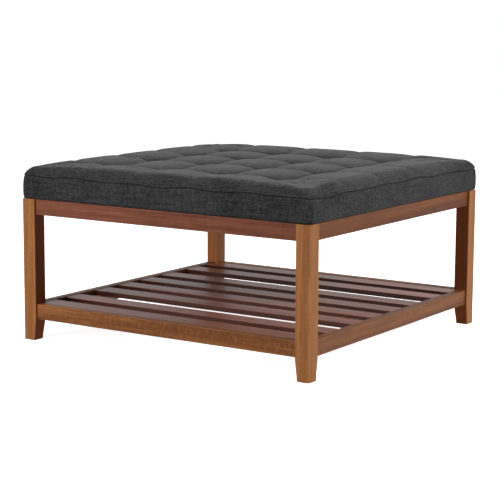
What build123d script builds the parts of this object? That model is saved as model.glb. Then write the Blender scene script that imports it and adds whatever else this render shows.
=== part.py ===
from build123d import *
import math
import os

# A square ottoman coffee table: a tufted, upholstered top on a wooden frame with a slatted
# shelf. Sizes are in millimetres. The origin is on the floor under the table's centre, +X runs
# to the right along the front, +Y to the back and +Z up.

# Whole table
table_width = 800.0
table_depth = 800.0
seat_overhang = 3.0
leg_height = 338.0

# Legs
leg_side = 36.0
leg_taper = 5.5
leg_edge_radius = 1.5

# Aprons under the seat
apron_height = 37.0
apron_thickness = 22.0
face_recess = 5.0
bar_edge_radius = 1.2

# Shelf rails and slats
rail_height = 36.0
rail_thickness = 22.0
rail_underside = 51.0
slat_group_counts = (2, 4, 2)
slat_width = 54.0
slat_thickness = 12.0
wide_gap = 60.0
slat_drop = 1.0
slat_end_gap = 0.5
slat_edge_radius = 1.2

# Ledgers under the slats' ends
ledger_width = 18.0
ledger_height = 18.0
ledger_end_gap = 0.5

# Corner blocks
block_reach = 50.0
block_tip = 4.0
upper_block_height = 30.0
upper_block_drop = 1.0
lower_block_height = 20.0

# Bolts, washers and inserts that hold the legs to the corner blocks
bolt_radius = 2.9
bolt_past_insert = 2.0
bolt_head_radius = 5.2
bolt_head_height = 3.3
hex_socket_radius = 2.3
hex_socket_depth = 2.0
hole_gap = 0.4
washer_radius = 7.0
washer_thickness = 1.2
insert_radius = 4.5
insert_length = 10.0
insert_depth = 5.0
thread_gap = 0.1

# Dowels in the joints of legs with aprons and rails
dowel_radius = 4.0
dowel_embed = 12.0
dowel_spacing = 18.0
dowel_gap = 0.1

# Screws
block_screw_radius = 2.0
block_screw_head_radius = 3.8
block_screw_head_height = 2.5
block_screw_bite = 14.0
block_screw_setback = 38.0
block_screw_seat = 12.0
slat_screw_radius = 1.75
slat_screw_head_radius = 3.5
slat_screw_head_height = 2.5
slat_screw_bite = 8.0
ledger_screw_bite = 13.0
board_screw_bite = 12.0
board_screw_setback = 24.0
board_screw_from_apron = 11.0

# Board and dust cover
board_thickness = 15.0
board_gap = 0.5
dust_cover_thickness = 0.6
dust_cover_overlap = 9.0

# Fabric cover
cover_thickness = 1.2
hem_width = 55.0
band_height = 52.0
band_bulge = 2.5
seam_pull = 2.0
side_draw = 1.5
corner_radius = 14.0

# Tufted top of the cushion, measured up from the seam
tuft_x_count = 4
tuft_y_count = 4
rim_rise = 2.0
top_rise = 24.0
crown_rise = 4.0
valley_dip = 9.0
valley_sharpness = 2.4
valley_flank = 20.0
rim_valley_share = 0.2
tuft_pit = 8.0
tuft_pit_radius = 22.0
edge_roll = 28.0
roll_angles = (12.0, 38.0, 62.0, 90.0)
foam_gap = 0.3

# Twines and their washers
twine_radius = 0.8
twine_hole_gap = 0.4
twine_end_gap = 0.6
board_hole_radius = 3.0
twine_washer_radius = 7.0
twine_washer_thickness = 1.0

# Staples
staples_per_side = 6
staple_pitch = 105.0
staple_crown = 10.0
staple_wire = 0.8
staple_leg = 7.0
staple_gap = 0.1
staple_from_edge = 5.0

# One overrun for every cut
overrun = 2.0

# Places that several pieces share
frame_half_x = table_width / 2 - seat_overhang
frame_half_y = table_depth / 2 - seat_overhang
leg_inner_x = frame_half_x - leg_side
leg_inner_y = frame_half_y - leg_side
apron_low = leg_height - apron_height
apron_inner_x = frame_half_x - face_recess - apron_thickness
apron_inner_y = frame_half_y - face_recess - apron_thickness
rail_inner_x = frame_half_x - face_recess - rail_thickness
rail_inner_y = frame_half_y - face_recess - rail_thickness
rail_top = rail_underside + rail_height
slat_top = rail_top - slat_drop
slat_underside = slat_top - slat_thickness
upper_block_top = leg_height - upper_block_drop
upper_block_low = upper_block_top - upper_block_height
lower_block_low = slat_underside - lower_block_height
board_low = leg_height + cover_thickness
board_top = board_low + board_thickness
seam_height = leg_height + band_height
tuft_pitch_x = table_width / (tuft_x_count + 1)
tuft_pitch_y = table_depth / (tuft_y_count + 1)
slat_screw_x = rail_inner_x - ledger_width / 2
signs = (-1, 1)
corners = {
    "front_left": (-1, -1),
    "front_right": (1, -1),
    "back_left": (-1, 1),
    "back_right": (1, 1),
}


def box_between(x_range, y_range, z_range):
    """A box given by its lowest and highest X, Y and Z."""
    sizes = [high - low for low, high in (x_range, y_range, z_range)]
    middle = [(low + high) / 2 for low, high in (x_range, y_range, z_range)]
    return Pos(*middle) * Box(*sizes)


def rod(origin, direction, radius, start, end):
    """A round bar along a direction, from start to end measured from the origin."""
    axis = Plane(origin=origin, z_dir=direction)
    return axis * Pos(0, 0, (start + end) / 2) * Cylinder(radius, end - start)


def screw(origin, direction, radius, length, head_radius, head_height):
    """A pan-head screw whose head seats at the origin and whose shank runs along the direction."""
    shank = rod(origin, direction, radius, 0, length)
    head = rod(origin, direction, head_radius, -head_height, 0)
    return shank + head


# Joints between legs and bars


def bar_middle(along, side, thickness):
    """The bar's centre line, across its length."""
    half = frame_half_y if along == "x" else frame_half_x
    return side * (half - face_recess - thickness / 2)


def joint_dowels(along, side, end, low, height, thickness, grow=0):
    """The two dowels, or with grow their holes, where one end of a bar meets a leg."""
    across = bar_middle(along, side, thickness)
    middle = low + height / 2
    reach = dowel_embed + grow
    dowels = []
    for step in signs:
        z = middle + step * dowel_spacing / 2
        if along == "x":
            origin, direction = (end * leg_inner_x, across, z), (1, 0, 0)
        else:
            origin, direction = (across, end * leg_inner_y, z), (0, 1, 0)
        dowels.append(rod(origin, direction, dowel_radius + grow, -reach, reach))
    return dowels


bar_levels = (
    (apron_low, apron_height, apron_thickness),
    (rail_underside, rail_height, rail_thickness),
)


def all_dowels():
    """Every dowel in the frame."""
    dowels = []
    for low, height, thickness in bar_levels:
        for along in ("x", "y"):
            for side in signs:
                for end in signs:
                    dowels += joint_dowels(along, side, end, low, height, thickness)
    return dowels


def block_face_distance(inner_x, inner_y):
    """From a leg's inner arris along the diagonal to the face of a corner block."""
    step_x = inner_x - leg_inner_x
    step_y = inner_y - leg_inner_y
    return (block_reach + block_tip - (step_x + step_y) / 2) / math.sqrt(2)


block_levels = (
    (upper_block_low, upper_block_height, apron_inner_x, apron_inner_y),
    (lower_block_low, lower_block_height, rail_inner_x, rail_inner_y),
)
bolt_end = insert_depth + insert_length + bolt_past_insert


def bolt_line(corner, low, height):
    """Where a corner's bolt passes the leg's inner arris, and the way it points."""
    sx, sy = corner
    return (sx * leg_inner_x, sy * leg_inner_y, low + height / 2), (sx, sy, 0)


# Frame


def leg(corner):
    """A leg whose two inner faces taper below the shelf, with its dowel and bolt holes."""
    sx, sy = corner
    profiles = []
    for half, inner, sign in ((frame_half_x, leg_inner_x, sx), (frame_half_y, leg_inner_y, sy)):
        profiles.append([
            (sign * half, 0),
            (sign * half, leg_height),
            (sign * inner, leg_height),
            (sign * inner, rail_underside),
            (sign * (inner + leg_taper), 0),
        ])
    front = extrude(Plane.XZ * Polygon(*profiles[0], align=None), table_depth, both=True)
    side = extrude(Plane.YZ * Polygon(*profiles[1], align=None), table_width, both=True)
    solid = front & side
    upright = [edge for edge in solid.edges() if abs(edge.tangent_at(0.5).Z) > math.cos(math.pi / 6)]
    solid = fillet(upright, leg_edge_radius)
    holes = []
    for low, height, thickness in bar_levels:
        holes += joint_dowels("x", sy, sx, low, height, thickness, dowel_gap)
        holes += joint_dowels("y", sx, sy, low, height, thickness, dowel_gap)
    for low, height, inner_x, inner_y in block_levels:
        origin, direction = bolt_line(corner, low, height)
        holes.append(rod(origin, direction, bolt_radius + hole_gap, -overrun, bolt_end + hole_gap))
        holes.append(rod(origin, direction, insert_radius, insert_depth, insert_depth + insert_length))
    return solid - holes


def bar(along, side, low, height, thickness):
    """An apron or a shelf rail between two legs, with the dowel holes in its ends."""
    middle = bar_middle(along, side, thickness)
    across = (middle - thickness / 2, middle + thickness / 2)
    z_range = (low, low + height)
    if along == "x":
        solid = box_between((-leg_inner_x, leg_inner_x), across, z_range)
        long_edges = solid.edges().filter_by(Axis.X)
    else:
        solid = box_between(across, (-leg_inner_y, leg_inner_y), z_range)
        long_edges = solid.edges().filter_by(Axis.Y)
    solid = fillet(long_edges, bar_edge_radius)
    holes = []
    for end in signs:
        holes += joint_dowels(along, side, end, low, height, thickness, dowel_gap)
    return solid - holes


def block_screw_lines(corner, inner_x, inner_y, z):
    """Where the two screws of a corner block seat, and the ways they point."""
    sx, sy = corner
    along_x = sx * (leg_inner_x - block_screw_setback)
    along_y = sy * (leg_inner_y - block_screw_setback)
    return (
        ((along_x, sy * (inner_y - block_screw_seat), z), (0, sy, 0)),
        ((sx * (inner_x - block_screw_seat), along_y, z), (sx, 0, 0)),
    )


def board_screw_lines(corner):
    """Where the two screws from an upper block into the board seat, and the way they point."""
    sx, sy = corner
    near_x = (leg_inner_x - board_screw_setback, apron_inner_y - board_screw_from_apron)
    near_y = (apron_inner_x - board_screw_from_apron, leg_inner_y - board_screw_setback)
    return [((sx * x, sy * y, upper_block_low), (0, 0, 1)) for x, y in (near_x, near_y)]


def corner_block(corner, low, height, inner_x, inner_y):
    """A blunt triangle behind two bars, notched round the leg and bored for its bolt and screws."""
    sx, sy = corner
    outline = [
        (inner_x, leg_inner_y - block_reach),
        (inner_x - block_tip, leg_inner_y - block_reach),
        (leg_inner_x - block_reach, inner_y - block_tip),
        (leg_inner_x - block_reach, inner_y),
        (inner_x, inner_y),
    ]
    outline = [(sx * x, sy * y) for x, y in outline]
    face = Pos(0, 0, low) * Polygon(*outline, align=None)
    solid = extrude(face, height, dir=(0, 0, 1))
    notch = box_between(
        sorted((sx * leg_inner_x, sx * table_width)),
        sorted((sy * leg_inner_y, sy * table_depth)),
        (low - overrun, low + height + overrun),
    )
    origin, direction = bolt_line(corner, low, height)
    tools = [notch, rod(origin, direction, bolt_radius + hole_gap, -block_reach, bolt_end)]
    for seat, way in block_screw_lines(corner, inner_x, inner_y, low + height / 2):
        tools.append(rod(seat, way, block_screw_radius, 0, block_screw_seat))
        tools.append(rod(seat, way, block_screw_head_radius + hole_gap, -block_reach, 0))
    return solid - tools


# Fasteners of the frame


def bolt_faces():
    """Each corner's bolt line, with the distance from the arris back to its block's face."""
    for low, height, inner_x, inner_y in block_levels:
        for corner in corners.values():
            origin, direction = bolt_line(corner, low, height)
            yield origin, direction, block_face_distance(inner_x, inner_y)


def frame_bolts():
    """Button-head bolts with a hexagon socket, one through each corner block."""
    bolts = []
    for origin, direction, face in bolt_faces():
        seat = -face - washer_thickness
        axis = Plane(origin=origin, z_dir=direction)
        shank = rod(origin, direction, bolt_radius, seat, bolt_end)
        head = rod(origin, direction, bolt_head_radius, seat - bolt_head_height, seat)
        socket = extrude(RegularPolygon(hex_socket_radius, 6), hex_socket_depth)
        bolts.append(shank + head - axis * Pos(0, 0, seat - bolt_head_height) * socket)
    return bolts


def bolt_washers():
    """A flat washer under each bolt's head."""
    washers = []
    for origin, direction, face in bolt_faces():
        start = -face - washer_thickness
        ring = rod(origin, direction, washer_radius, start, -face)
        bore = rod(origin, direction, bolt_radius + hole_gap, start - overrun, overrun - face)
        washers.append(ring - bore)
    return washers


def leg_inserts():
    """A threaded insert in the leg for each bolt, its thread left plain."""
    inserts = []
    end = insert_depth + insert_length
    for origin, direction, _ in bolt_faces():
        sleeve = rod(origin, direction, insert_radius, insert_depth, end)
        inserts.append(sleeve - rod(origin, direction, bolt_radius + thread_gap, 0, end + overrun))
    return inserts


def block_screws():
    """The screws that hold the corner blocks to the aprons and the rails."""
    screws = []
    for low, height, inner_x, inner_y in block_levels:
        for corner in corners.values():
            for seat, way in block_screw_lines(corner, inner_x, inner_y, low + height / 2):
                length = block_screw_seat + block_screw_bite
                screws.append(screw(seat, way, block_screw_radius, length,
                                    block_screw_head_radius, block_screw_head_height))
    return screws


def board_screws(grow=0):
    """The screws that hold the board down to the upper blocks, or with grow their holes."""
    length = board_low - upper_block_low + board_screw_bite
    screws = []
    for corner in corners.values():
        for seat, way in board_screw_lines(corner):
            screws.append(screw(seat, way, block_screw_radius + grow, length,
                                block_screw_head_radius, block_screw_head_height))
    return screws


# Shelf


def slat_fronts():
    """The Y of each slat's front edge: tight groups, set apart by the wide gap."""
    count = sum(slat_group_counts)
    wide_count = len(slat_group_counts) - 1
    narrow_count = count - 1 - wide_count
    free = 2 * rail_inner_y - count * slat_width - wide_count * wide_gap
    narrow_gap = free / narrow_count
    fronts = []
    y = -rail_inner_y
    for group in slat_group_counts:
        for _ in range(group):
            fronts.append(y)
            y += slat_width + narrow_gap
        y += wide_gap - narrow_gap
    return fronts


def slat_end_screws(front):
    """The screws up into a slat's two ends, through a block at the corners, else a ledger."""
    y = front + slat_width / 2
    on_block = abs(y) > leg_inner_y - block_reach
    low = lower_block_low if on_block else slat_underside - ledger_height
    length = slat_underside - low + slat_screw_bite
    screws = []
    for x_side in signs:
        screws.append(screw((x_side * slat_screw_x, y, low), (0, 0, 1), slat_screw_radius, length,
                            slat_screw_head_radius, slat_screw_head_height))
    return screws


def slat_screws():
    """The screws of every slat."""
    return [piece for front in slat_fronts() for piece in slat_end_screws(front)]


def slat(front):
    """A slat between the two side rails, notched where a leg stands in its corner."""
    half = rail_inner_x - slat_end_gap
    solid = box_between((-half, half), (front, front + slat_width), (slat_underside, slat_top))
    solid = fillet(solid.edges().filter_by(Axis.X), slat_edge_radius)
    near_x, near_y = leg_inner_x - slat_end_gap, leg_inner_y - slat_end_gap
    tools = slat_end_screws(front)
    if max(abs(front), abs(front + slat_width)) > near_y:
        for sx, sy in corners.values():
            x_range = sorted((sx * near_x, sx * frame_half_x))
            y_range = sorted((sy * near_y, sy * frame_half_y))
            tools.append(box_between(x_range, y_range, (rail_underside, rail_top)))
    return solid - tools


def ledger_screw_lines(x_side):
    """Where the ledger's screws seat: in the gap at the middle and in the two wide gaps."""
    fronts = slat_fronts()
    first = slat_group_counts[0]
    after_gap = (first, len(fronts) // 2, len(fronts) - first)
    places = [(fronts[i] + fronts[i - 1] + slat_width) / 2 for i in after_gap]
    z = slat_underside - ledger_height / 2
    return [((x_side * (rail_inner_x - ledger_width), y, z), (x_side, 0, 0)) for y in places]


def ledger_screws():
    """The screws that hold the ledgers to the side rails."""
    screws = []
    for x_side in signs:
        for seat, way in ledger_screw_lines(x_side):
            screws.append(screw(seat, way, slat_screw_radius, ledger_width + ledger_screw_bite,
                                slat_screw_head_radius, slat_screw_head_height))
    return screws


def ledger(x_side):
    """A strip on a side rail that carries the slats' ends between the corner blocks."""
    half = leg_inner_y - block_reach - ledger_end_gap
    x_range = sorted((x_side * rail_inner_x, x_side * (rail_inner_x - ledger_width)))
    return box_between(x_range, (-half, half), (slat_underside - ledger_height, slat_underside))


# Outlines and lofts of the cushion


def band_outline(half_x, half_y, z, inset):
    """The cushion's outline at one height: sides drawn in between round corners."""
    hx, hy = half_x - inset, half_y - inset
    radius = max(corner_radius - inset, inset)
    sx, sy = hx - radius, hy - radius
    turn = radius * (1 - math.sqrt(0.5))
    edges = []
    for qx, qy in ((1, 1), (-1, 1), (-1, -1), (1, -1)):
        start, end = (qx * hx, qy * sy, z), (qx * sx, qy * hy, z)
        middle = (qx * (hx - turn), qy * (hy - turn), z)
        if qx * qy > 0:
            edges.append(Edge.make_three_point_arc(start, middle, end))
            side_middle = (0, qy * (hy - side_draw), z)
            edges.append(Edge.make_three_point_arc(end, side_middle, (-qx * sx, qy * hy, z)))
        else:
            edges.append(Edge.make_three_point_arc(end, middle, start))
            side_middle = (qx * (hx - side_draw), 0, z)
            edges.append(Edge.make_three_point_arc(start, side_middle, (qx * hx, -qy * sy, z)))
    return Face(Wire(edges))


def band_solid(inset, low):
    """The space inside the side band's outer face, less an inset, from low up to the seam."""
    middle_z = leg_height + band_height / 2
    widest_x, widest_y = table_width / 2, table_depth / 2
    whole = loft([
        band_outline(widest_x - band_bulge, widest_y - band_bulge, leg_height, inset),
        band_outline(widest_x, widest_y, middle_z, inset),
        band_outline(widest_x - seam_pull, widest_y - seam_pull, seam_height, inset),
    ])
    if low == leg_height:
        return whole
    below = box_between(
        (-table_width, table_width), (-table_depth, table_depth), (leg_height - overrun, low)
    )
    return whole - below


def tuft_lines(count, pitch):
    """The places of the tufts along one direction."""
    return [(i - (count - 1) / 2) * pitch for i in range(count)]


def dip_share(value, count, pitch):
    """1 on a line of tufts, falling steeply and then gently to 0 halfway between two lines."""
    nearest = min(abs(value - line) for line in tuft_lines(count, pitch))
    return max(0, 1 - nearest / (pitch / 2)) ** valley_sharpness


def rim_fade(value, half, count, pitch):
    """Share of a valley's depth that is left: all of it between the tufts, little at the rim."""
    outer = tuft_lines(count, pitch)[-1]
    past = (abs(value) - outer) / (half - edge_roll - outer)
    return 1 - (1 - rim_valley_share) * min(1, max(0, past))


def roll_share(value, half):
    """Share of its full height that the top has reached: 0 at the rim, 1 past the rolled edge."""
    over = abs(value) - (half - edge_roll)
    if over <= 0:
        return 1
    return math.sqrt(max(0, 1 - (over / edge_roll) ** 2))


def top_height(x, y, half_x, half_y):
    """Height of the tufted top at a point, before the cover's thickness is taken off."""
    crown = crown_rise * (1 - (x / half_x) ** 2) * (1 - (y / half_y) ** 2)
    dip_x = dip_share(x, tuft_x_count, tuft_pitch_x) * rim_fade(y, half_y, tuft_y_count, tuft_pitch_y)
    dip_y = dip_share(y, tuft_y_count, tuft_pitch_y) * rim_fade(x, half_x, tuft_x_count, tuft_pitch_x)
    nearest = min(math.dist((x, y), tuft) for tuft in tuft_places())
    pit = tuft_pit * math.exp(-nearest / tuft_pit_radius)
    share = roll_share(x, half_x) * roll_share(y, half_y)
    height = top_rise + crown - valley_dip * (dip_x + dip_y) - pit
    return seam_height + rim_rise + height * share


def stations(half, count, pitch):
    """The places across the top that shape it: rolled edges, valleys with their flanks, and puffs."""
    lines = tuft_lines(count, pitch)
    rolled = [half - edge_roll + edge_roll * math.cos(math.radians(a)) for a in roll_angles]
    shoulder = rolled[-1]
    inside = [(shoulder + lines[-1]) / 2]
    for line in reversed(lines):
        inside += [line + valley_flank, line, line - valley_flank, line - pitch / 2]
    inside[-1] = -(shoulder + lines[-1]) / 2
    return [-value for value in rolled] + list(reversed(inside)) + list(reversed(rolled))


def top_section(y, half_x, half_y, inset):
    """A slice across the tufted top: puffs as arcs between tuft lines, rolled down at the sides."""
    share = roll_share(y, half_y)
    rim_x = half_x - inset - corner_radius * (1 - share) ** 2
    shoulder = half_x - inset - edge_roll
    quarter = shoulder + (rim_x - shoulder) * math.sqrt(0.5)
    lines = tuft_lines(tuft_x_count, tuft_pitch_x)
    knots = [-rim_x, -shoulder] + lines + [shoulder, rim_x]

    def height(x):
        return top_height(x, y, half_x, half_y) - inset

    points = [(x, y, height(x)) for x in knots]
    points[0] = (-rim_x, y, seam_height + rim_rise)
    points[-1] = (rim_x, y, seam_height + rim_rise)
    edges = []
    for start, end in zip(points, points[1:]):
        if abs(start[0]) > shoulder or abs(end[0]) > shoulder:
            x = math.copysign(quarter, start[0] + end[0])
            rim, high = sorted((start[2], end[2]))
            middle = (x, y, rim + (high - rim) * math.sqrt(0.5))
        else:
            x = (start[0] + end[0]) / 2
            middle = (x, y, height(x))
        edges.append(Edge.make_three_point_arc(start, middle, end))
    low_left = (-rim_x, y, seam_height)
    low_right = (rim_x, y, seam_height)
    edges.append(Edge.make_line(points[-1], low_right))
    edges.append(Edge.make_line(low_right, low_left))
    edges.append(Edge.make_line(low_left, points[0]))
    return Face(Wire(edges))


def top_solid(inset):
    """The space under the tufted top, less an inset, down to the seam."""
    half_x = table_width / 2 - seam_pull - side_draw
    half_y = table_depth / 2 - seam_pull - side_draw
    places = stations(half_y, tuft_y_count, tuft_pitch_y)
    shrink = (half_y - inset) / half_y
    sections = []
    for y in places:
        section = top_section(y, half_x, half_y, inset)
        sections.append(Pos(0, y * shrink - y, 0) * section)
    return loft(sections)


# Seat


def tuft_places():
    """Every tuft's X and Y."""
    lines_x = tuft_lines(tuft_x_count, tuft_pitch_x)
    lines_y = tuft_lines(tuft_y_count, tuft_pitch_y)
    return [(x, y) for y in lines_y for x in lines_x]


def tuft_height(x, y):
    """Height of the cover's outer face at a tuft."""
    return top_height(x, y, table_width / 2 - seam_pull - side_draw, table_depth / 2 - seam_pull - side_draw)


def staples(grow=0):
    """U-shaped staples up through the dust cover and the hem into the board, or their slots."""
    top = leg_height - dust_cover_thickness
    places = [(i - (staples_per_side - 1) / 2) * staple_pitch for i in range(staples_per_side)]
    hem_edge_x = frame_half_x - hem_width
    hem_edge_y = frame_half_y - hem_width
    outer = staple_crown / 2 + grow
    inner = staple_crown / 2 - staple_wire - grow
    tip = staple_leg + grow
    outline = [(-outer, -staple_wire), (outer, -staple_wire), (outer, tip), (inner, tip),
               (inner, 0), (-inner, 0), (-inner, tip), (-outer, tip)]
    piece = extrude(Plane.XZ * Polygon(*outline, align=None), staple_wire / 2 + grow, both=True)
    found = []
    for side in signs:
        for place in places:
            found.append(Pos(place, side * (hem_edge_y + staple_from_edge), top) * piece)
            found.append(Pos(side * (hem_edge_x + staple_from_edge), place, top) * Rot(0, 0, 90) * piece)
    return found


def board():
    """The plywood board, bored for the tuft twines and for its screws and staples."""
    half_x = table_width / 2 - band_bulge - side_draw - cover_thickness - board_gap
    half_y = table_depth / 2 - band_bulge - side_draw - cover_thickness - board_gap
    outline = RectangleRounded(2 * half_x, 2 * half_y, corner_radius)
    solid = Pos(0, 0, board_low) * extrude(outline, board_thickness)
    tools = board_screws() + staples(staple_gap)
    end = board_thickness + overrun
    for x, y in tuft_places():
        tools.append(rod((x, y, board_low), (0, 0, 1), board_hole_radius, -overrun, end))
    return solid - tools


def side_band():
    """The cover's side band, bulging between board and seam, with its hem turned under the board."""
    outer = band_solid(0, leg_height)
    inner = band_solid(cover_thickness, board_low)
    opening_x = frame_half_x - hem_width
    opening_y = frame_half_y - hem_width
    opening = box_between(
        (-opening_x, opening_x), (-opening_y, opening_y), (leg_height - overrun, board_low + overrun)
    )
    return outer - inner - [opening] - board_screws(hole_gap) - staples(staple_gap)


def top_panel():
    """The cover's tufted top, one skin from rim to rim."""
    return top_solid(0) - top_solid(cover_thickness)


def foam_pad():
    """The foam that fills the cover above the board, bored for the tuft twines."""
    inset = cover_thickness + foam_gap
    solid = band_solid(inset, board_top) + top_solid(inset)
    tools = []
    for x, y in tuft_places():
        top = tuft_height(x, y) - board_top
        tools.append(rod((x, y, board_top), (0, 0, 1), twine_radius + twine_hole_gap, -overrun, top))
    return solid - tools


def twine_washers():
    """The washers under the board that hold the twines."""
    washers = []
    for x, y in tuft_places():
        centre = (x, y, board_low)
        ring = rod(centre, (0, 0, 1), twine_washer_radius, -twine_washer_thickness, 0)
        washers.append(ring - rod(centre, (0, 0, 1), twine_radius + thread_gap, -overrun, overrun))
    return washers


def tuft_twines():
    """The twines from the washers up to the tufts."""
    twines = []
    for x, y in tuft_places():
        top = tuft_height(x, y) - cover_thickness - twine_end_gap
        start = board_low - twine_washer_thickness
        twines.append(rod((x, y, start), (0, 0, 1), twine_radius, 0, top - start))
    return twines


def dust_cover():
    """The sheet that closes the underside, over the hem's inner edge."""
    half_x = frame_half_x - hem_width + dust_cover_overlap
    half_y = frame_half_y - hem_width + dust_cover_overlap
    z_range = (leg_height - dust_cover_thickness, leg_height)
    solid = box_between((-half_x, half_x), (-half_y, half_y), z_range)
    return solid - staples(staple_gap) - board_screws(hole_gap)


# All nodes


def build_nodes():
    """Every node's name and its solid or list of solids."""
    nodes = {}
    nodes["block_screws"] = block_screws()
    nodes["ledger_screws"] = ledger_screws()
    nodes["slat_screws"] = slat_screws()
    nodes["board_screws"] = board_screws()
    for name, corner in corners.items():
        nodes["leg_" + name] = leg(corner)
        nodes["apron_block_" + name] = corner_block(corner, *block_levels[0]) - nodes["board_screws"]
        nodes["shelf_block_" + name] = corner_block(corner, *block_levels[1]) - nodes["slat_screws"]
    for name, along, side in (("front", "x", -1), ("back", "x", 1), ("left", "y", -1), ("right", "y", 1)):
        nodes["apron_" + name] = bar(along, side, *bar_levels[0]) - nodes["block_screws"]
        rail = bar(along, side, *bar_levels[1])
        nodes["shelf_rail_" + name] = rail - (nodes["block_screws"] + nodes["ledger_screws"])
    for number, front in enumerate(slat_fronts(), 1):
        nodes[f"shelf_slat_{number}"] = slat(front)
    for name, x_side in (("left", -1), ("right", 1)):
        nodes["slat_ledger_" + name] = ledger(x_side) - (nodes["slat_screws"] + nodes["ledger_screws"])
    nodes["seat_board"] = board()
    nodes["foam_pad"] = foam_pad()
    nodes["cover_side_band"] = side_band()
    nodes["cover_top_panel"] = top_panel()
    nodes["dust_cover"] = dust_cover()
    nodes["frame_bolts"] = frame_bolts()
    nodes["bolt_washers"] = bolt_washers()
    nodes["leg_inserts"] = leg_inserts()
    nodes["frame_dowels"] = all_dowels()
    nodes["cover_staples"] = staples()
    nodes["tuft_twines"] = tuft_twines()
    nodes["twine_washers"] = twine_washers()
    return nodes


os.makedirs("parts", exist_ok=True)
for node, made in build_nodes().items():
    pieces = made if isinstance(made, list) else [made]
    solids = [solid for piece in pieces for solid in piece.solids()]
    shape = solids[0] if len(solids) == 1 else Compound(solids)
    export_step(shape, f"parts/{node}.step")
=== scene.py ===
import math

import bpy
import numpy as np
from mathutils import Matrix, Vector


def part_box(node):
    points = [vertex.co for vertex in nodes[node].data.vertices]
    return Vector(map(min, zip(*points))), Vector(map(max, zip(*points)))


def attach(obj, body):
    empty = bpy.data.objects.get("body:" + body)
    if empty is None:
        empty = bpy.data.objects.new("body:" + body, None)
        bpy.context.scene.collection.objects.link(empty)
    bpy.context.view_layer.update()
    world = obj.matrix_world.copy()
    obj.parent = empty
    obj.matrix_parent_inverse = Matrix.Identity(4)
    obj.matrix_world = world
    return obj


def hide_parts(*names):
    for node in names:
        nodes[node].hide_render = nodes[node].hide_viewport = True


# An ottoman coffee table: a tufted cushion on a stained wooden frame with a slatted shelf.
# Everything is in metres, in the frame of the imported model.

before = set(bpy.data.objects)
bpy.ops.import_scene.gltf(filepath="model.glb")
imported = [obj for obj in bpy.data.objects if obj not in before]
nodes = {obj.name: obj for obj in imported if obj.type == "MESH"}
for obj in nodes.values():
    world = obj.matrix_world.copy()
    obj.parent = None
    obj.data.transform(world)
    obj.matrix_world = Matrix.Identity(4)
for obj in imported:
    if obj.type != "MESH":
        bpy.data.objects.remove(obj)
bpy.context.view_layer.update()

MM = 0.001


def linear(red, green, blue):
    """A colour given in display values from 0 to 255, as the shader's linear values."""
    values = []
    for channel in (red, green, blue):
        share = channel / 255
        values.append(share / 12.92 if share <= 0.04045 else ((share + 0.055) / 1.055) ** 2.4)
    return (*values, 1.0)


# Shader building


class Shader:
    """A material and short ways to add and join its nodes."""

    def __init__(self, name, **surface):
        self.material = bpy.data.materials.new(name)
        self.material.use_nodes = True
        self.tree = self.material.node_tree
        self.surface = self.tree.nodes["Principled BSDF"]
        for key, value in surface.items():
            self.surface.inputs[key.replace("_", " ")].default_value = value
        self.place = self.add("TexCoord").outputs["Object"]

    def add(self, kind, inputs=None, **settings):
        """A new node. Inputs are numbers, colours, or other nodes' outputs."""
        node = self.tree.nodes.new("ShaderNode" + kind)
        for key, value in settings.items():
            setattr(node, key, value)
        for key, value in (inputs or {}).items():
            if isinstance(value, bpy.types.NodeSocket):
                self.tree.links.new(value, node.inputs[key])
            else:
                node.inputs[key].default_value = value
        return node

    def sum(self, operation, first, second=0.0):
        """The result of a sum with one or two numbers."""
        return self.add("Math", {0: first, 1: second}, operation=operation).outputs[0]

    def vector(self, operation, first, second):
        """The vector that a sum with two vectors gives."""
        return self.add("VectorMath", {0: first, 1: second}, operation=operation).outputs[0]

    def facing(self):
        """How far the surface faces along X, Y and Z, either way."""
        normal = self.add("NewGeometry").outputs["Normal"]
        return self.add("SeparateXYZ", {0: self.vector("ABSOLUTE", normal, (0, 0, 0))}).outputs

    def stretched(self, scales, offset=0.0):
        """The place, scaled along X, Y and Z, and moved for a pattern of its own."""
        scaled = self.vector("MULTIPLY", self.place, scales)
        return self.vector("ADD", scaled, (offset, offset * 0.7, offset * 1.3))

    def noise(self, vector, scale=1.0, detail=3.0, roughness=0.5, distortion=0.0):
        """Cloudy values around 0.5."""
        inputs = {"Vector": vector, "Scale": scale, "Detail": detail,
                  "Roughness": roughness, "Distortion": distortion}
        return self.add("TexNoise", inputs).outputs["Fac"]

    def span(self, value, low, high, to_low=0.0, to_high=1.0, smooth=False):
        """The value's range from low to high, spread over another range and clamped."""
        kind = "SMOOTHSTEP" if smooth else "LINEAR"
        inputs = {"Value": value, "From Min": low, "From Max": high,
                  "To Min": to_low, "To Max": to_high}
        return self.add("MapRange", inputs, interpolation_type=kind).outputs["Result"]

    def ramp(self, value, stops):
        """A colour for each value, from stops of a position and a colour."""
        node = self.add("ValToRGB", {"Fac": value})
        elements = node.color_ramp.elements
        while len(elements) < len(stops):
            elements.new(0.5)
        for element, (position, colour) in zip(elements, stops):
            element.position = position
            element.color = colour
        return node.outputs["Color"]

    def mix(self, share, first, second):
        """The first colour, turned into the second by a share."""
        return self.add("Mix", {0: share, 6: first, 7: second}, data_type="RGBA").outputs[2]

    def bump(self, height, distance, strength):
        """A normal that shows small heights."""
        inputs = {"Height": height, "Distance": distance, "Strength": strength}
        return self.add("Bump", inputs).outputs["Normal"]

    def finish(self, colour, roughness, normal=None):
        """Joins what varies over the surface to the shader, and gives the material."""
        for key, value in (("Base Color", colour), ("Roughness", roughness), ("Normal", normal)):
            if value is not None:
                self.tree.links.new(value, self.surface.inputs[key])
        return self.material


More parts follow.
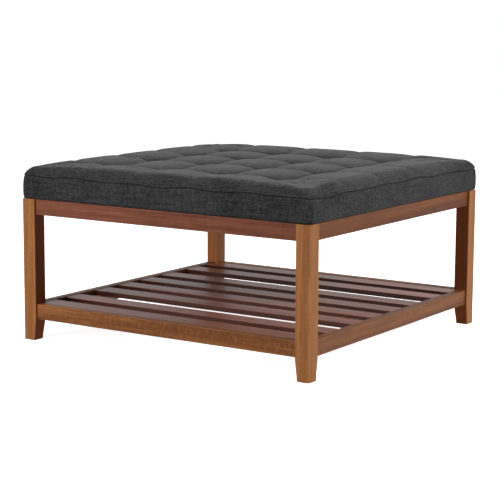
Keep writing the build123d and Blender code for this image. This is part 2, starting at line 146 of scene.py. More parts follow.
def arris_share(shader, box, axis, width):
    """How near a point is to a long edge of a bar: 1 on the edge, 0 past the width."""
    parts = shader.add("SeparateXYZ", {0: shader.place})
    low, high = box
    shares = []
    for other in range(3):
        if other == axis:
            continue
        middle, half = (low[other] + high[other]) / 2, (high[other] - low[other]) / 2
        away = shader.sum("ABSOLUTE", shader.sum("SUBTRACT", parts.outputs[other], middle))
        shares.append(shader.span(away, half - width, half, smooth=True))
    return shader.sum("MULTIPLY", *shares)


def inner_shade_share(shader, share):
    """The share of painted shade on faces that look towards the table's middle, and none on the
    others.
    """
    inwards = shader.vector("MULTIPLY", shader.place, (-1, -1, 0))
    normal = shader.add("NewGeometry").outputs["Normal"]
    turned = shader.add("VectorMath", {0: inwards, 1: normal}, operation="DOT_PRODUCT")
    return shader.span(turned.outputs["Value"], 0.1, 0.2, 0.0, share)


# Scales of the wood's patterns: across the grain, and along it
figure_scales = (26, 1.3)
streak_scales = (150, 4.5)
fibre_scales = (850, 22)
pore_scales = (1700, 60)
blotch_scales = (9, 3.2)
ripple_scales = (70, 130)
wear_scales = (60, 12)

# Where the three tones lie, and the values between which each pattern goes from none to all
tone_stops = (0.12, 0.5, 0.9)
pore_range = (0.60, 0.72)
blotch_range = (0.42, 0.75)
ripple_range = (0.45, 0.75)
wear_range = (0.35, 0.7)
streak_range = (0.3, 0.7)

# How much of each pattern shows in the wood's colour
figure_share = 0.9
streak_share = 0.75
fibre_share = 0.45
pore_share = 0.35
blotch_share = 0.28
wear_shares = (0.05, 0.45)
arris_width = 2.6 * MM
seed_step = 7.31


def wood(name, axis, box, tones, seed, roughness=0.48, gloss=0.1, grain=1.0, painted_side_shade=0.0,
         plain=0.0, fleck=0.07, inner=0.0):
    """Stained wood with its grain along one axis. Painted side shade darkens a leg's faces that look
    along X and a slat's side faces, and a leg's inner faces get a red-brown painted shade. Grain
    makes the fine patterns stronger, plain the broad figure weaker, and fleck is the share of the
    light ripple across the grain."""
    shader = Shader(name, IOR=1.5)
    shader.surface.inputs["Specular IOR Level"].default_value = gloss

    def along(across, lengthwise):
        scales = [across] * 3
        scales[axis] = lengthwise
        return shader.stretched(tuple(scales), seed * seed_step)

    figure = shader.noise(along(*figure_scales), detail=3, distortion=0.5)
    streaks = shader.noise(along(*streak_scales), detail=5, roughness=0.65, distortion=0.25)
    fibres = shader.noise(along(*fibre_scales), detail=3, roughness=0.6)
    pores = shader.noise(along(*pore_scales), detail=1)
    value = shader.sum("MULTIPLY", figure, figure_share - plain)
    value = shader.sum("ADD", value, shader.sum("MULTIPLY", streaks, streak_share * grain))
    value = shader.sum("ADD", value, shader.sum("MULTIPLY", fibres, fibre_share * grain))
    darkest = 0.7 + 0.15 * grain - 0.5 * plain
    lightest = 1.35 + 0.25 * grain - 0.5 * plain
    value = shader.span(value, darkest, lightest)
    colour = shader.ramp(value, list(zip(tone_stops, tones)))
    dashes = shader.span(pores, *pore_range)
    colour = shader.mix(shader.sum("MULTIPLY", dashes, pore_share * grain), colour, tones[0])
    blotch = shader.noise(along(*blotch_scales), detail=2)
    colour = shader.mix(shader.span(blotch, *blotch_range, 0.0, blotch_share), colour, tones[0])
    ripple = shader.noise(along(*ripple_scales), detail=3, roughness=0.6)
    colour = shader.mix(shader.span(ripple, *ripple_range, 0.0, fleck), colour, tones[2])
    rubbed = shader.span(shader.noise(along(*wear_scales), detail=3), *wear_range, *wear_shares)
    wear = shader.sum("MULTIPLY", arris_share(shader, box, axis, arris_width), rubbed)
    colour = shader.mix(wear, colour, tones[2])
    # Painted shade: a leg's faces that look along X are darkened towards its darkest tone
    if painted_side_shade and axis == 2:
        sideways = shader.facing()[0]
        colour = shader.mix(shader.span(sideways, 0.4, 0.8, 0.0, painted_side_shade), colour, tones[0])
        # Painted shade: a red-brown tone on a leg's inner faces, which lie in the table's shadow
        colour = shader.mix(inner_shade_share(shader, inner), colour, painted_inner_shade)
    # Painted shade: a slat's side faces, down in the gaps between slats, are darkened to a near-black
    # brown
    elif painted_side_shade:
        upright = shader.facing()[2]
        colour = shader.mix(shader.span(upright, 0.3, 0.8, painted_side_shade, 0.0), colour, painted_gap_shade)
    rough = shader.span(streaks, *streak_range, roughness - 0.05, roughness + 0.08)
    height = shader.sum("SUBTRACT", shader.sum("MULTIPLY", fibres, 0.6), dashes)
    normal = shader.bump(height, 0.12 * MM, 0.35 * grain)
    return shader.finish(colour, rough, normal)


# The woven cloth's patterns: their scales, and how much of each shows in its colour
weave_pitch = 1.5 * MM
thread_scale = 430.0
thread_scale_lengthwise = 26.0
fuzz_scale = 380
cloud_scale = 9
nap_scale = 170
thread_share = 0.5
fuzz_share = 0.6
cloud_share = 0.25
weave_share = 0.05
nap_share = 0.32


def fabric(name, low, high):
    """Heathered linen weave: threads along every axis that lies in the surface."""
    shader = Shader(name, Sheen_Weight=0.13, Sheen_Roughness=0.34, IOR=1.4)
    shader.surface.inputs["Specular IOR Level"].default_value = 0.1
    shader.surface.inputs["Sheen Tint"].default_value = linear(228, 228, 230)
    place = shader.add("SeparateXYZ", {0: shader.place}).outputs
    facing = shader.facing()
    waves = [shader.sum("SINE", shader.sum("MULTIPLY", place[i], math.tau / weave_pitch))
             for i in range(3)]
    weave, threads = None, None
    for i in range(3):
        first, second = (k for k in range(3) if k != i)
        crossing = shader.sum("MULTIPLY", waves[first], waves[second])
        part = shader.sum("MULTIPLY", crossing, shader.sum("POWER", facing[i], 2.0))
        weave = part if weave is None else shader.sum("ADD", weave, part)
        scales = [thread_scale] * 3
        scales[i] = thread_scale_lengthwise
        streak = shader.noise(shader.stretched(tuple(scales), 3.1 * i), detail=3, roughness=0.7)
        lies_in = shader.sum("SUBTRACT", 1.0, shader.sum("POWER", facing[i], 2.0))
        part = shader.sum("MULTIPLY", streak, lies_in)
        threads = part if threads is None else shader.sum("ADD", threads, part)
    fuzz = shader.noise(shader.place, fuzz_scale, detail=4, roughness=0.75)
    cloud = shader.noise(shader.place, cloud_scale, detail=3)
    nap = shader.sum("SUBTRACT", shader.noise(shader.place, nap_scale, detail=2), 0.5)
    value = shader.sum("MULTIPLY", threads, thread_share)
    for pattern, share in ((fuzz, fuzz_share), (cloud, cloud_share), (weave, weave_share),
                           (nap, nap_share)):
        value = shader.sum("ADD", value, shader.sum("MULTIPLY", pattern, share))
    colour = shader.ramp(shader.span(value, 0.76, 1.09), [(0.0, low), (1.0, high)])
    height = shader.sum("ADD", weave, shader.sum("MULTIPLY", threads, 1.4))
    normal = shader.bump(height, 0.22 * MM, 0.6)
    rough = shader.span(fuzz, 0.3, 0.7, 0.84, 0.96)
    return shader.finish(colour, rough, normal)


def metal(name, colour, roughness):
    """Zinc-plated steel with fine scratches."""
    shader = Shader(name, Metallic=1.0)
    scratch = shader.noise(shader.stretched((900, 2600, 1500)), detail=3)
    tone = shader.mix(shader.span(scratch, 0.3, 0.7), colour, linear(214, 214, 208))
    rough = shader.span(scratch, 0.3, 0.7, roughness - 0.06, roughness + 0.1)
    return shader.finish(tone, rough, shader.bump(scratch, 0.05 * MM, 0.3))


ply_count = 9


def plywood(name, box):
    """Plies of alternating grain, seen as stripes on the edges and as a face veneer."""
    shader = Shader(name)
    height = shader.add("SeparateXYZ", {0: shader.place}).outputs[2]
    ply = (box[1][2] - box[0][2]) / ply_count
    stripe = shader.sum("SINE", shader.sum("MULTIPLY", height, math.pi / ply))
    lengthwise = shader.noise(shader.stretched((6, 180, 40)), detail=5, roughness=0.6)
    face = shader.ramp(lengthwise, [(0.3, linear(178, 140, 96)), (0.7, linear(216, 184, 140))])
    edge = shader.mix(shader.span(stripe, -0.2, 0.2), linear(132, 92, 56), linear(196, 158, 112))
    colour = shader.mix(shader.span(shader.facing()[2], 0.5, 0.8), edge, face)
    rough = shader.span(lengthwise, 0.3, 0.7, 0.62, 0.8)
    return shader.finish(colour, rough, shader.bump(lengthwise, 0.2 * MM, 0.4))


def dust_cloth(name):
    """Black non-woven sheet with a grid of pressed dots."""
    shader = Shader(name, Sheen_Weight=0.2)
    dots = shader.add("TexVoronoi", {"Vector": shader.place, "Scale": 420.0, "Randomness": 0.15})
    pressed = shader.span(dots.outputs["Distance"], 0.15, 0.45)
    fibres = shader.noise(shader.stretched((700, 700, 700)), detail=4, roughness=0.7)
    colour = shader.ramp(fibres, [(0.3, linear(20, 20, 21)), (0.75, linear(52, 52, 54))])
    colour = shader.mix(shader.sum("MULTIPLY", shader.sum("SUBTRACT", 1.0, pressed), 0.6),
                        colour, linear(14, 14, 15))
    height = shader.sum("ADD", pressed, shader.sum("MULTIPLY", fibres, 0.5))
    return shader.finish(colour, shader.span(fibres, 0.3, 0.7, 0.7, 0.9),
                         shader.bump(height, 0.15 * MM, 0.6))


def thread(name, low, high):
    """Twisted sewing thread or waxed twine."""
    shader = Shader(name, Sheen_Weight=0.05)
    twist = shader.noise(shader.stretched((1500, 1500, 3200)), detail=2)
    colour = shader.ramp(twist, [(0.3, low), (0.7, high)])
    return shader.finish(colour, shader.span(twist, 0.3, 0.7, 0.55, 0.75),
                         shader.bump(twist, 0.1 * MM, 0.5))


def moulded(name, low, high):
    """Moulded plastic with a faint grain."""
    shader = Shader(name)
    grain = shader.noise(shader.place, 1200, detail=2)
    colour = shader.ramp(grain, [(0.3, low), (0.7, high)])
    return shader.finish(colour, shader.span(grain, 0.3, 0.7, 0.4, 0.52),
                         shader.bump(grain, 0.04 * MM, 0.4))


# Tones of the stained wood, dark to light, and the painted shade for slats' side faces and legs'
# inner faces
painted_gap_shade = linear(44, 15, 4)
painted_inner_shade = linear(146, 64, 20)
leg_tones = (linear(116, 70, 34), linear(153, 102, 58), linear(182, 132, 82))
apron_tones = (linear(80, 40, 24), linear(119, 70, 50), linear(150, 96, 72))
rail_tones = (linear(94, 52, 22), linear(136, 86, 45), linear(168, 116, 68))
# Painted shade: the side aprons and side rails take darker copies of the front and back tones
shaded_side_apron_tones = (linear(68, 31, 9), linear(100, 56, 26), linear(128, 77, 43))
shaded_side_rail_tones = (linear(78, 42, 18), linear(112, 68, 38), linear(138, 92, 56))
slat_tones = (linear(76, 31, 13), linear(110, 54, 28), linear(142, 82, 50))
bare_tones = (linear(150, 108, 66), linear(188, 146, 98), linear(212, 174, 126))

# How much red-brown painted shade a leg's inner faces take
inner_shade_shares = {"leg_front_left": 0.6, "leg_back_right": 0.6}
least_inner_shade = 0.1


def paint(node, material):
    """Gives a CAD node its material."""
    piece = nodes[node]
    for material_slot in piece.material_slots:
        material_slot.material = material


def paint_wood():
    """Every wooden node, each with its own stretch of grain."""
    for seed, node in enumerate(sorted(nodes), 1):
        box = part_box(node)
        size = box[1] - box[0]
        axis = max(range(3), key=lambda i: size[i])
        if "_block_" in node or node.startswith("slat_ledger"):
            paint(node, wood("wood_" + node, axis, box, bare_tones, seed, roughness=0.7))
        elif node.startswith(("leg_front", "leg_back")):
            # A leg's inner faces take a red-brown painted shade
            inner = inner_shade_shares.get(node, least_inner_shade)
            paint(node, wood("wood_" + node, axis, box, leg_tones, seed, painted_side_shade=0.35,
                             plain=0.6, inner=inner))
        elif node.startswith("apron"):
            tones = apron_tones if axis == 0 else shaded_side_apron_tones
            paint(node, wood("wood_" + node, axis, box, tones, seed))
        elif node.startswith("shelf_rail"):
            tones = rail_tones if axis == 0 else shaded_side_rail_tones
            paint(node, wood("wood_" + node, axis, box, tones, seed, fleck=0.2))
        elif node.startswith("shelf_slat"):
            paint(node, wood("wood_" + node, axis, box, slat_tones, seed, roughness=0.38,
                             gloss=0.2, painted_side_shade=0.9, grain=1.3))


paint_wood()
paint("frame_dowels", wood("wood_dowels", 0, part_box("frame_dowels"), bare_tones, 3.3,
                           roughness=0.7))
paint("seat_board", plywood("plywood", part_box("seat_board")))
paint("dust_cover", dust_cloth("dust_cloth"))
zinc = metal("zinc_steel", linear(150, 150, 146), 0.34)
for fastener in ("frame_bolts", "bolt_washers", "leg_inserts", "block_screws", "ledger_screws",
                 "slat_screws", "board_screws", "cover_staples"):
    paint(fastener, zinc)
paint("tuft_twines", thread("waxed_twine", linear(170, 162, 142), linear(214, 206, 188)))
paint("twine_washers", moulded("washer_plastic", linear(196, 196, 190), linear(226, 226, 220)))
seat_cloth = fabric("charcoal_linen", linear(9, 9, 9), linear(60, 60, 60))
# Painted shade: a darker copy of the linen for the faces of the sewn groove under the rim
groove_shade_cloth = fabric("seam_groove_painted_shade", linear(7, 7, 7), linear(44, 44, 44))
seam_thread = thread("seam_thread", linear(22, 22, 23), linear(46, 46, 47))


# Sizes of the cushion that are the same in the CAD model
half_side = 400 * MM
band_bottom = 338 * MM
rim_z = 392 * MM
band_bulge = 2.5 * MM
seam_pull = 2.0 * MM
side_draw = 1.5 * MM
corner_radius = 14 * MM
edge_roll = 28 * MM
top_rise = 24 * MM
crown_rise = 4 * MM
line_dip = 9 * MM
rim_dip = 0.2
pit_depth = 8 * MM
pit_radius = 22 * MM
tuft_lines = (-240 * MM, -80 * MM, 80 * MM, 240 * MM)
hem_inner = 342 * MM
rim_half = half_side - seam_pull

# The puffs between the tufts, the dropped corners, and the tuck at the foot of the side band
half_pitch = 80 * MM
puff_power = 3.2
rim_fade_power = 0.8
corner_drop = 3 * MM
corner_power = 4
tuck_power = 5

# The raised lower edge, the hem, and the hollow, which has a little room around the CAD board
under_roll = 3.0 * MM
roll_middle = 0.3
hem_lift = 0.1 * MM
cloth_thickness = 1.1 * MM
board_top = 354.4 * MM
board_side = 394.6 * MM

# The wavy seam: its heights in millimetres, and how they vary along a side, in radians per metre
seam_rise = 2.2
seam_drift = 1.2
seam_lift = 1.0
drift_rate = 9.0
drift_shift = 1.3
rise_middle = 0.75
rise_swing = 0.4
rise_rate = 14.0
seam_corner = 60 * MM

# The sewn groove under the rim
lip = 1.3 * MM
lip_out = 0.4 * MM
groove = 4.0 * MM

# Creases that run between the tufts: how they fade away from a tuft, sway, and spread at the rim
crease_depth = 6.2 * MM
crease_width = 4.2 * MM
crease_reach = 26 * MM
crease_fade_power = 1.5
crease_sway = 3.0 * MM
sway_reach = 40 * MM
sway_rate = 31
sway_line_rate = 47
least_crease = 0.12
rim_crease = 0.25
rim_widening = 1.4
rim_fade_from = 0.7

# Puckers beside a crease, in crease widths and as a share of its depth
pucker_place = 2.6
pucker_width = 1.6
pucker_share = 0.5

# The small dimple at each tuft
dimple = 6.0 * MM
dimple_radius = 8.5 * MM

# The cushion's mesh before it is made finer
roll_cells = 7
flat_cells = 123
band_rows = 9

# The filling: a cloth simulation, and how firmly the cloth is held in it
fill_pressure = 1.5
fill_frames = 20
fill_cap = 4 * MM
tuft_held_radius = 5 * MM
valley_width = 9 * MM
valley_hold = 0.3
rim_hold = 0.35
band_hold = 0.25
above_hem_hold = 0.6


def side_places():
    """Places from rim to rim, evenly spaced over the cloth, with the share of height at each."""
    turns = [math.pi / 2 * i / roll_cells for i in range(roll_cells)]
    rolled = [rim_half - edge_roll + edge_roll * math.cos(turn) for turn in turns]
    flat = rim_half - edge_roll
    inner = list(np.linspace(-flat, flat, flat_cells + 1))
    places = [-x for x in rolled] + inner + list(reversed(rolled))
    shares = [math.sin(turn) for turn in turns]
    shares = shares + [1.0] * len(inner) + list(reversed(shares))
    return np.array(places), np.array(shares)


def line_distance(places):
    """How far each place is from the nearest line of tufts."""
    return np.min([np.abs(places - line) for line in tuft_lines], axis=0)


def line_share(places):
    """1 on a line of tufts, 0 in the middle of a puff."""
    return np.clip(1 - line_distance(places) / half_pitch, 0, 1) ** puff_power


def valley_share(places):
    """How deep the lines across a side's puffs stay: whole between the tufts, faint at the rim."""
    past = np.clip((np.abs(places) - tuft_lines[-1]) / (rim_half - edge_roll - tuft_lines[-1]), 0, 1)
    return 1 - (1 - rim_dip) * past ** rim_fade_power


def rounded(x, y):
    """Turns the square corners of the outline into round ones."""
    inner = rim_half - corner_radius
    a = np.clip((np.abs(x) - inner) / corner_radius, 0, None)
    b = np.clip((np.abs(y) - inner) / corner_radius, 0, None)
    new_a = a * np.sqrt(np.clip(1 - b ** 2 / 2, 0, None))
    new_b = b * np.sqrt(np.clip(1 - a ** 2 / 2, 0, None))
    x = x + np.sign(x) * (new_a - a) * corner_radius
    y = y + np.sign(y) * (new_b - b) * corner_radius
    return x, y


def seam_wave(x, y):
    """How far the seam rises where the tuft lines pull it, along whichever side is nearer."""
    along = np.where(np.abs(x) > np.abs(y), y, x)
    fade = np.clip((rim_half - np.abs(along)) / seam_corner, 0, 1)
    wave = seam_rise * np.cos(math.tau * (along - half_pitch) / (2 * half_pitch))
    drift = seam_drift * np.sin(along * drift_rate + drift_shift * np.sign(x + y)) + seam_lift
    return (wave * (rise_middle + rise_swing * np.sin(along * rise_rate)) + drift) * fade * MM


def top_grid():
    """The tufted top before it is filled, as a grid of points."""
    places, shares = side_places()
    x, y = np.meshgrid(places, places, indexing="ij")
    roll = shares[:, None] * shares[None, :]
    crown = crown_rise * (1 - (x / rim_half) ** 2) * (1 - (y / rim_half) ** 2)
    dips = line_share(x) * valley_share(y) + line_share(y) * valley_share(x)
    cornerness = (np.abs(x) * np.abs(y) / rim_half ** 2) ** corner_power
    height = top_rise + crown - line_dip * dips - corner_drop * cornerness
    for tuft_x in tuft_lines:
        for tuft_y in tuft_lines:
            away = np.hypot(x - tuft_x, y - tuft_y) / pit_radius
            height = height - pit_depth * np.exp(-away)
    draw = side_draw * (1 - roll)
    scale_x = 1 - draw * (1 - (y / rim_half) ** 2) / rim_half
    scale_y = 1 - draw * (1 - (x / rim_half) ** 2) / rim_half
    wave = seam_wave(x, y) * (1 - roll)
    z = rim_z + height * roll + wave
    x, y = rounded(x, y)
    return np.stack([x * scale_x, y * scale_y, z], axis=-1)


def ring_of(grid):
    """The outer points of a grid, once round from the front left corner."""
    return np.concatenate([grid[:, 0], grid[-1, 1:], grid[-2::-1, -1], grid[0, -2:0:-1]])


def band_grid(ring):
    """The side band before it is filled: rows from just under the seam to the bottom edge."""
    rows = []
    for step in range(1, band_rows + 1):
        share = step / band_rows
        z = ring[:, 2] + (band_bottom - ring[:, 2]) * share
        out = seam_pull * (1 - (1 - 2 * share) ** 2) if share < 0.5 else (
            seam_pull - (2 * share - 1) ** tuck_power * band_bulge)
        row = ring.copy()
        row[:, :2] *= 1 + out / half_side
        row[:, 2] = z
        rows.append(row)
    return np.stack(rows)


def doubled(points, axis, closed=False):
    """The points with a new one between each two, on a smooth curve through them. A new point is
    the middle of its neighbours (9 of 16 parts each) drawn away from the next ones out (1 part)."""
    points = np.moveaxis(points, axis, 0)
    if closed:
        before, after = np.roll(points, 1, 0), np.roll(points, -1, 0)
        beyond = np.roll(points, -2, 0)
        middles = (9 * (points + after) - before - beyond) / 16
        out = np.empty((2 * len(points), *points.shape[1:]))
        out[0::2], out[1::2] = points, middles
        return np.moveaxis(out, 0, axis)
    first = 2 * points[:1] - points[1:2]
    last = 2 * points[-1:] - points[-2:-1]
    padded = np.concatenate([first, points, last])
    middles = (9 * (padded[1:-2] + padded[2:-1]) - padded[:-3] - padded[3:]) / 16
    out = np.empty((2 * len(points) - 1, *points.shape[1:]))
    out[0::2], out[1::2] = points, middles
    return np.moveaxis(out, 0, axis)


def fine_folds(grid, x, y):
    """Adds the narrow creases that run from the tufts, and puckers over the rolled edge."""
    along_x = np.roll(grid, -1, 0) - np.roll(grid, 1, 0)
    along_y = np.roll(grid, -1, 1) - np.roll(grid, 1, 1)
    normal = np.cross(along_x, along_y)
    normal /= np.linalg.norm(normal, axis=2, keepdims=True) + 1e-12
    normal[[0, -1], :] = normal[:, [0, -1]] = 0
    depth = np.zeros(grid.shape[:2])
    for across, along, phase in ((x, y, 0.0), (y, x, 2.1)):
        to_tuft = line_distance(along)
        edge = np.clip((np.abs(along) - tuft_lines[-1]) / (rim_half - tuft_lines[-1]), 0, 1)
        least = least_crease + rim_crease * edge ** 3
        strength = least + (1 - least) * np.exp(-(to_tuft / crease_reach) ** crease_fade_power)
        fade = np.clip((edge - rim_fade_from) / (1 - rim_fade_from), 0, 1)
        strength = strength * (1 - fade ** 2)
        widths = crease_width * (1 + rim_widening * edge)
        for line in tuft_lines:
            swing = np.clip(to_tuft / sway_reach, 0, 1)
            turn = along * sway_rate + line * sway_line_rate + phase
            sway = crease_sway * np.sin(turn) * swing
            away = across - line - sway
            depth += crease_depth * strength * np.exp(-np.abs(away) / widths)
            bump = np.exp(-((away - pucker_place * widths) / (pucker_width * widths)) ** 2)
            depth -= pucker_share * crease_depth * edge ** 3 * bump * strength
    for tuft_x in tuft_lines:
        for tuft_y in tuft_lines:
            depth += dimple * np.exp(-(np.hypot(x - tuft_x, y - tuft_y) / dimple_radius) ** 2)
    return grid - normal * depth[:, :, None]


def grid_faces(columns, rows):
    """Quads of a grid of points numbered row by row."""
    i, j = np.meshgrid(np.arange(columns - 1), np.arange(rows - 1), indexing="ij")
    first = (i * rows + j).ravel()
    return np.stack([first, first + rows, first + rows + 1, first + 1], axis=-1)


def ring_numbers(size):
    """The numbers of a grid's outer points, in the order of ring_of."""
    numbers = np.arange(size * size).reshape(size, size)
    return np.concatenate([numbers[:, 0], numbers[-1, 1:], numbers[-2::-1, -1], numbers[0, -2:0:-1]])


def ring_faces(rings):
    """Quads between rings of point numbers, one ring below the other."""
    faces = []
    for upper, lower in zip(rings, rings[1:]):
        faces.append(np.stack([upper, lower, np.roll(lower, -1), np.roll(upper, -1)], axis=-1))
    return np.concatenate(faces)


def mesh_piece(name, points, faces, smooth=True):
    """An object from points and faces."""
    mesh = bpy.data.meshes.new(name)
    mesh.from_pydata([tuple(p) for p in points], [], [tuple(int(i) for i in f) for f in faces])
    mesh.validate()
    if smooth:
        mesh.shade_smooth()
    piece = bpy.data.objects.new(name, mesh)
    bpy.context.scene.collection.objects.link(piece)
    return piece


def line_nearness(places):
    """1 on a line of tufts, 0 from a little way off."""
    return np.clip(1 - line_distance(places) / valley_width, 0, 1)


def pin_shares(grid, band):
    """How firmly each point is held while the cushion is filled."""
    top = np.zeros(grid.shape[:2])
    places, _ = side_places()
    x, y = np.meshgrid(places, places, indexing="ij")
    for tuft_x in tuft_lines:
        for tuft_y in tuft_lines:
            away = np.hypot(x - tuft_x, y - tuft_y)
            top = np.maximum(top, np.where(away < tuft_held_radius, 1.0, 0.0))
    near_line = np.maximum(line_nearness(x) * valley_share(y), line_nearness(y) * valley_share(x))
    top = np.maximum(top, valley_hold * near_line)
    top[[0, -1], :] = top[:, [0, -1]] = rim_hold
    side = np.full(band.shape[:2], band_hold)
    side[-1] = 1.0
    side[-2] = above_hem_hold
    return np.concatenate([top.ravel(), side.ravel()])


def filled(grid, band):
    """The cover swollen by its filling: a cloth simulation, held at tufts and bottom edge."""
    size, ring_size = len(grid), band.shape[1]
    points = np.concatenate([grid.reshape(-1, 3), band.reshape(-1, 3)])
    start = size * size
    rings = [ring_numbers(size)]
    rings += [start + row * ring_size + np.arange(ring_size) for row in range(len(band))]
    faces = np.concatenate([grid_faces(size, size), ring_faces(rings)])
    piece = mesh_piece("cushion_filling", points, faces)
    group = piece.vertex_groups.new(name="held")
    held = np.round(pin_shares(grid, band), 2)
    for share in np.unique(held):
        if share > 0:
            group.add([int(i) for i in np.flatnonzero(held == share)], float(share), "REPLACE")
    cloth = piece.modifiers.new("Cloth", "CLOTH")
    settings = cloth.settings
    settings.quality = 6
    settings.mass = 0.3
    settings.tension_stiffness = settings.compression_stiffness = 15
    settings.shear_stiffness = 8
    settings.bending_stiffness = 0.8
    settings.use_pressure = True
    settings.uniform_pressure_force = fill_pressure
    settings.effector_weights.gravity = 0
    settings.vertex_group_mass = "held"
    settings.pin_stiffness = 1.0
    cloth.collision_settings.use_collision = False
    cloth.collision_settings.use_self_collision = False
    cloth.point_cache.frame_start, cloth.point_cache.frame_end = 1, fill_frames
    scene = bpy.context.scene
    for step in range(1, fill_frames + 1):
        scene.frame_set(step)
    shaped = piece.evaluated_get(bpy.context.evaluated_depsgraph_get())
    moved = np.empty(len(points) * 3)
    shaped.data.vertices.foreach_get("co", moved)
    move = moved.reshape(-1, 3) - points
    length = np.linalg.norm(move, axis=1, keepdims=True)
    move *= np.minimum(1, fill_cap / np.maximum(length, 1e-9))
    bpy.data.objects.remove(piece)
    points = points + move
    return points[:start].reshape(grid.shape), points[start:].reshape(band.shape)


def outward(ring):
    """Unit vectors pointing out of a ring, level with the floor."""
    along = np.roll(ring, -1, 0) - np.roll(ring, 1, 0)
    out = np.stack([along[:, 1], -along[:, 0], np.zeros(len(ring))], axis=-1)
    return out / np.linalg.norm(out, axis=1, keepdims=True)


def squared(ring, half, z):
    """A ring drawn on to the outline of a square, at one height."""
    flat = ring[:, :2] * (half / np.max(np.abs(ring[:, :2]), axis=1, keepdims=True))
    return np.column_stack([flat, np.full(len(ring), z)])


def hem_rings(bottom, up):
    """Rings from the band's raised lower edge, in under the board, and up round its hollow. The
    underside rises to that edge. On its way out it crosses the floor of the hollow, and the board."""
    out = outward(bottom)
    edge = bottom + up * under_roll
    return [
        edge,
        edge + up * roll_middle * under_roll - out * roll_middle * under_roll,
        edge - out * under_roll,
        squared(edge, hem_inner, band_bottom + hem_lift),
        squared(edge, hem_inner, band_bottom + cloth_thickness),
        squared(edge, board_side, band_bottom + cloth_thickness),
        squared(edge, board_side, board_top),
    ]


def cushion():
    """The whole cushion as one closed form, with its seam, hem and the hollow for the board."""
    grid = top_grid()
    band = band_grid(ring_of(grid))
    grid, band = filled(grid, band)
    seam = ring_of(grid)
    rows = np.concatenate([seam[None], band])
    rows = doubled(doubled(rows, 0), 1, closed=True)
    places, _ = side_places()
    x, y = np.meshgrid(doubled(places, 0), doubled(places, 0), indexing="ij")
    grid = fine_folds(doubled(doubled(grid, 0), 1), x, y)
    size = len(grid)
    seam = ring_of(grid)
    out = outward(seam)
    up = np.array([0, 0, 1.0])
    numbers = ring_numbers(size)
    top = grid.reshape(-1, 3).copy()
    top[numbers] = seam + up * lip + out * lip_out
    groove_ring = seam - out * groove
    lower_lip = seam - up * lip
    side = rows[1:]
    rings = [groove_ring, lower_lip, *side[1:-1], *hem_rings(side[-1], up)]
    ring_size = len(seam)
    points = np.concatenate([top, *rings, [[0, 0, board_top]]])
    start = size * size
    ids = [numbers] + [start + k * ring_size + np.arange(ring_size) for k in range(len(rings))]
    faces = [tuple(f) for f in np.concatenate([grid_faces(size, size), ring_faces(ids)])]
    centre = len(points) - 1
    last = ids[-1]
    faces += [(a, centre, b) for a, b in zip(last, np.roll(last, -1))]
    piece = mesh_piece("cushion", points, faces)
    piece.data.materials.append(seat_cloth)
    piece.data.materials.append(groove_shade_cloth)
    # The groove faces take the darker cloth, painted shade in the groove
    groove_faces = (size - 1) ** 2
    for face in piece.data.polygons[groove_faces:groove_faces + 2 * ring_size]:
        face.material_index = 1
    return piece, grid


# Stitches

stitch_pitch = 4.6 * MM
stitch_length = 3.2 * MM
stitch_rise = 3.2 * MM
stitch_push = 0.2 * MM
thread_thickness = 0.6 * MM
stitch_sides = 6
stitch_rings = 5

# A stitch's arch in thread thicknesses, and its radius at the ends and in the middle
arch_height = 0.9
end_depth = 0.35
end_radius = 0.45
added_radius = 0.55


def tube_sides(first, rings, sides):
    """Quads between rings of equally many points that follow each other from a first number."""
    faces = []
    for start in range(first, first + (rings - 1) * sides, sides):
        for k in range(sides):
            a, b = start + k, start + (k + 1) % sides
            faces.append((a, b, b + sides, a + sides))
    return faces


def stitch(start, end, out, faces, points):
    """Adds one stitch: a short thread in a low arch, thinner at its ends."""
    start, end, out = Vector(start), Vector(end), Vector(out)
    along = end - start
    side = along.cross(out).normalized()
    first = len(points)
    for ring in range(stitch_rings):
        share = ring / (stitch_rings - 1)
        arch = math.sin(math.pi * share)
        middle = start + along * share + out * (thread_thickness * (arch_height * arch - end_depth))
        radius = thread_thickness / 2 * (end_radius + added_radius * arch)
        for k in range(stitch_sides):
            turn = math.tau * k / stitch_sides
            points.append(tuple(middle + (side * math.cos(turn) + out * math.sin(turn)) * radius))
    faces += tube_sides(first, stitch_rings, stitch_sides)
    last = first + (stitch_rings - 1) * stitch_sides
    faces.append(tuple(first + k for k in reversed(range(stitch_sides))))
    faces.append(tuple(last + k for k in range(stitch_sides)))


def seam_stitches(grid):
    """A row of stitches just above the seam. They stand about a millimetre off the cloth."""
    outer = ring_of(grid)
    out = outward(outer)
    lengths = np.linalg.norm(np.roll(outer, -1, 0) - outer, axis=1)
    walked = np.concatenate([[0], np.cumsum(lengths)])
    total = walked[-1]
    count = int(total / stitch_pitch)
    points, faces = [], []
    loop = np.concatenate([outer, outer[:1]])
    out_loop = np.concatenate([out, out[:1]])

    def at(distance):
        distance = distance % total
        place = [np.interp(distance, walked, loop[:, i]) for i in range(3)]
        way = [np.interp(distance, walked, out_loop[:, i]) for i in range(3)]
        return np.array(place), np.array(way)

    for number in range(count):
        begin = number * total / count
        first, way = at(begin)
        second, _ = at(begin + stitch_length)
        lift = np.array([0, 0, stitch_rise])
        push = way * stitch_push
        stitch(first + lift + push, second + lift + push, way, faces, points)
    piece = mesh_piece("seam_stitches", points, faces)
    piece.data.materials.append(seam_thread)
    return piece


def dress_cushion():
    """Puts the cushion and its stitches in place of the CAD model's soft solids."""
    piece, grid = cushion()
    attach(piece, "root")
    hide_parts("cover_top_panel", "cover_side_band", "foam_pad")
    stitches = seam_stitches(grid)
    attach(stitches, "root")


dress_cushion()


# Floor, light and camera

# The floor's outline, as pairs of a radius and a height
floor_rings = ((30.0, 0.0), (40.0, 2.0), (46.0, 8.0), (48.0, 20.0), (48.0, 60.0))
floor_sides = 48
floor_drop = 0.2 * MM
floor_glow = 0.85

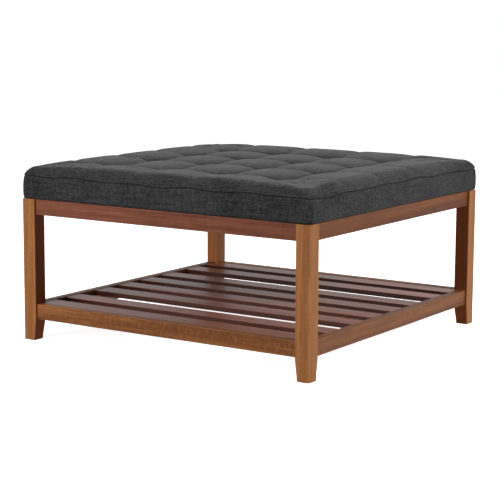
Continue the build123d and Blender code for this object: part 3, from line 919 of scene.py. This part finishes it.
# Each lamp's place and its power in watts
lamps = {
    "key": ((-0.9, -3.4, 1.65), 138),
    "fill": ((3.35, 0.4, 1.95), 160),
    "back": ((0.3, 2.9, 2.2), 40),
}
lamp_size = 1.2
lamp_aim = (0, 0, 0.3)
room_strength = 0.2

# The camera, with its turns in degrees, and its lens and sensor in millimetres
camera_place = (2.0789, -3.1714, 0.7913)
camera_turns = (81.136, -0.312, 33.497)
camera_lens = 113.23
camera_sensor = 36
camera_reach = 500


def floor():
    """A wide pale floor, swept up far away, that glows so that shadows on it stay faint."""
    shader = Shader("pale_floor")
    speck = shader.noise(shader.place, 60, detail=3)
    colour = shader.ramp(speck, [(0.3, linear(236, 236, 236)), (0.7, linear(240, 240, 240))])
    shader.surface.inputs["Emission Color"].default_value = (1, 1, 1, 1)
    shader.surface.inputs["Emission Strength"].default_value = floor_glow
    shader.surface.inputs["Specular IOR Level"].default_value = 0.0
    points = []
    for radius, height in floor_rings:
        for k in range(floor_sides):
            turn = math.tau * k / floor_sides
            points.append((radius * math.cos(turn), radius * math.sin(turn), height - floor_drop))
    faces = [tuple(range(floor_sides)), *tube_sides(0, len(floor_rings), floor_sides)]
    piece = mesh_piece("floor", points, faces, smooth=False)
    piece.data.materials.append(shader.finish(colour, shader.span(speck, 0.3, 0.7, 0.7, 0.8)))
    piece.visible_diffuse = False


def soft_light(name, place, power):
    """A square softbox that points at the table."""
    light = bpy.data.lights.new(name, "AREA")
    light.shape, light.size, light.energy = "SQUARE", lamp_size, power
    piece = bpy.data.objects.new(name, light)
    piece.location = place
    piece.rotation_euler = (Vector(lamp_aim) - Vector(place)).to_track_quat("-Z", "Y").to_euler()
    bpy.context.scene.collection.objects.link(piece)


def studio():
    """A pale room, with a key light from the front left, a fill from the right, and a back light."""
    world = bpy.data.worlds.new("studio")
    world.use_nodes = True
    backdrop = world.node_tree.nodes["Background"]
    backdrop.inputs["Color"].default_value = (1, 1, 1, 1)
    backdrop.inputs["Strength"].default_value = room_strength
    bpy.context.scene.world = world
    for name, (place, power) in lamps.items():
        soft_light(name, place, power)
    bpy.context.scene.view_settings.view_transform = "Standard"


def camera():
    """The camera at the photograph's place."""
    data = bpy.data.cameras.new("camera")
    data.sensor_width = camera_sensor
    data.lens = camera_lens
    data.clip_end = camera_reach
    piece = bpy.data.objects.new("camera", data)
    piece.location = camera_place
    piece.rotation_euler = [math.radians(turn) for turn in camera_turns]
    bpy.context.scene.collection.objects.link(piece)
    bpy.context.scene.camera = piece


floor()
studio()
camera()
